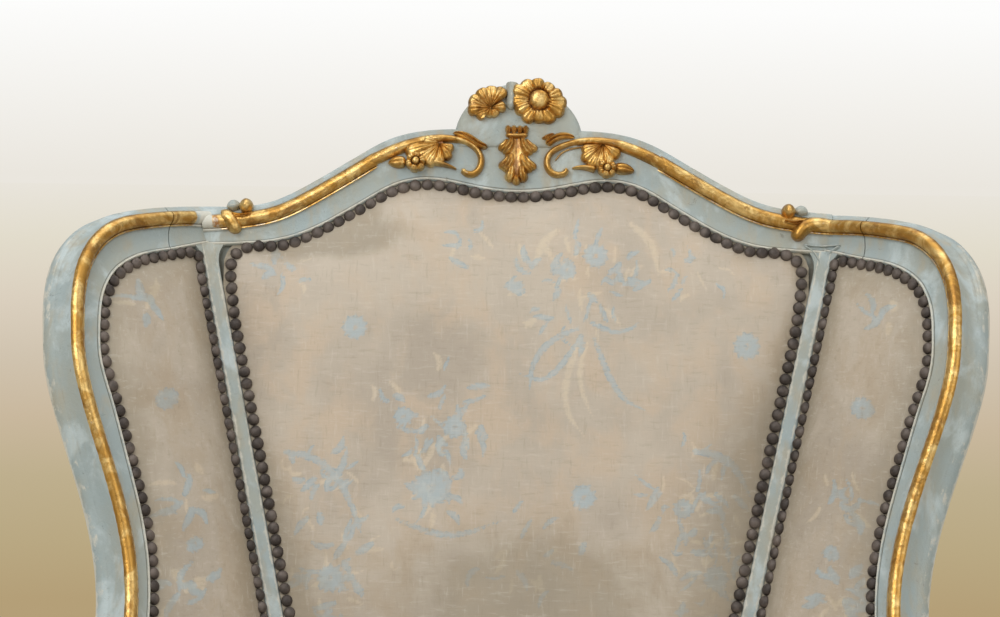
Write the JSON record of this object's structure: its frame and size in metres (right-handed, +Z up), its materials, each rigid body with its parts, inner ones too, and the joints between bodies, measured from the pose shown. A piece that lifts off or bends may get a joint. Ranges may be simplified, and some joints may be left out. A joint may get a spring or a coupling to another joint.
{
  "type": "bergere chair",
  "caption": "Wing bergere with serpentine carved crest, beaded gilt and painted frame, nailed hide panels, closed arms, cabriole legs and loose seat cushion.",
  "frame": {"origin": "on the floor under the middle of the whole chair", "axes": "+X to the sitter-facing viewer's right, the chair faces -Y, +Z up"},
  "size_m": [0.7656, 0.7252, 1.0874],
  "materials": {
    "painted_gilt_wood": "worn pale grey-blue distemper with parcel gilding over red bole",
    "bare_beech": "unfinished beech",
    "painted_hide": "aged warm grey hide with faded hand-painted flowers",
    "plain_hide": "aged warm grey hide, plain",
    "jute_webbing": "woven jute",
    "hessian": "coarse plain weave",
    "stuffing": "curled hair under calico",
    "ticking": "close cotton ticking over feathers"
  },
  "bodies": {
    "chair": {"arm_pad_cover_left": "painted_hide", "arm_pad_cover_right": "painted_hide", "arm_pad_stuffing_left": "stuffing", "arm_pad_stuffing_right": "stuffing", "arm_rail_left": "painted_gilt_wood", "arm_rail_right": "painted_gilt_wood", "arm_support_left": "painted_gilt_wood", "arm_support_right": "painted_gilt_wood", "back_hessian": "hessian", "back_inner_cover": "painted_hide", "back_lower_rail": "bare_beech", "back_outer_cover": "plain_hide", "back_stile_left": "painted_gilt_wood", "back_stile_right": "painted_gilt_wood", "back_stuffing": "stuffing", "back_webbing": "jute_webbing", "corner_blocks": "bare_beech", "crest_rail": "painted_gilt_wood", "front_leg_left": "painted_gilt_wood", "front_leg_right": "painted_gilt_wood", "seat_back_rail": "bare_beech", "seat_deck_cover": "plain_hide", "seat_front_rail": "painted_gilt_wood", "seat_hessian": "hessian", "seat_side_rail_left": "painted_gilt_wood", "seat_side_rail_right": "painted_gilt_wood", "seat_stuffing": "stuffing", "seat_webbing": "jute_webbing", "side_hessian_left": "hessian", "side_hessian_right": "hessian", "side_inner_cover_left": "painted_hide", "side_inner_cover_right": "painted_hide", "side_outer_cover_left": "plain_hide", "side_outer_cover_right": "plain_hide", "side_stuffing_left": "stuffing", "side_stuffing_right": "stuffing", "wing_hessian_left": "hessian", "wing_hessian_right": "hessian", "wing_inner_cover_left": "painted_hide", "wing_inner_cover_right": "painted_hide", "wing_outer_cover_left": "plain_hide", "wing_outer_cover_right": "plain_hide", "wing_stuffing_left": "stuffing", "wing_stuffing_right": "stuffing", "wing_top_rail_left": "painted_gilt_wood", "wing_top_rail_right": "painted_gilt_wood", "wing_upright_left": "painted_gilt_wood", "wing_upright_right": "painted_gilt_wood"},
    "cushion": {"cushion_pad": "ticking", "cushion_cover": "painted_hide"}
  },
  "joints": [
    {"name": "cushion_lift", "type": "slide", "parent": "chair", "child": "cushion", "axis": [0, -0.9063, 0.4226], "range_m": [0, 0.7]}
  ]
}
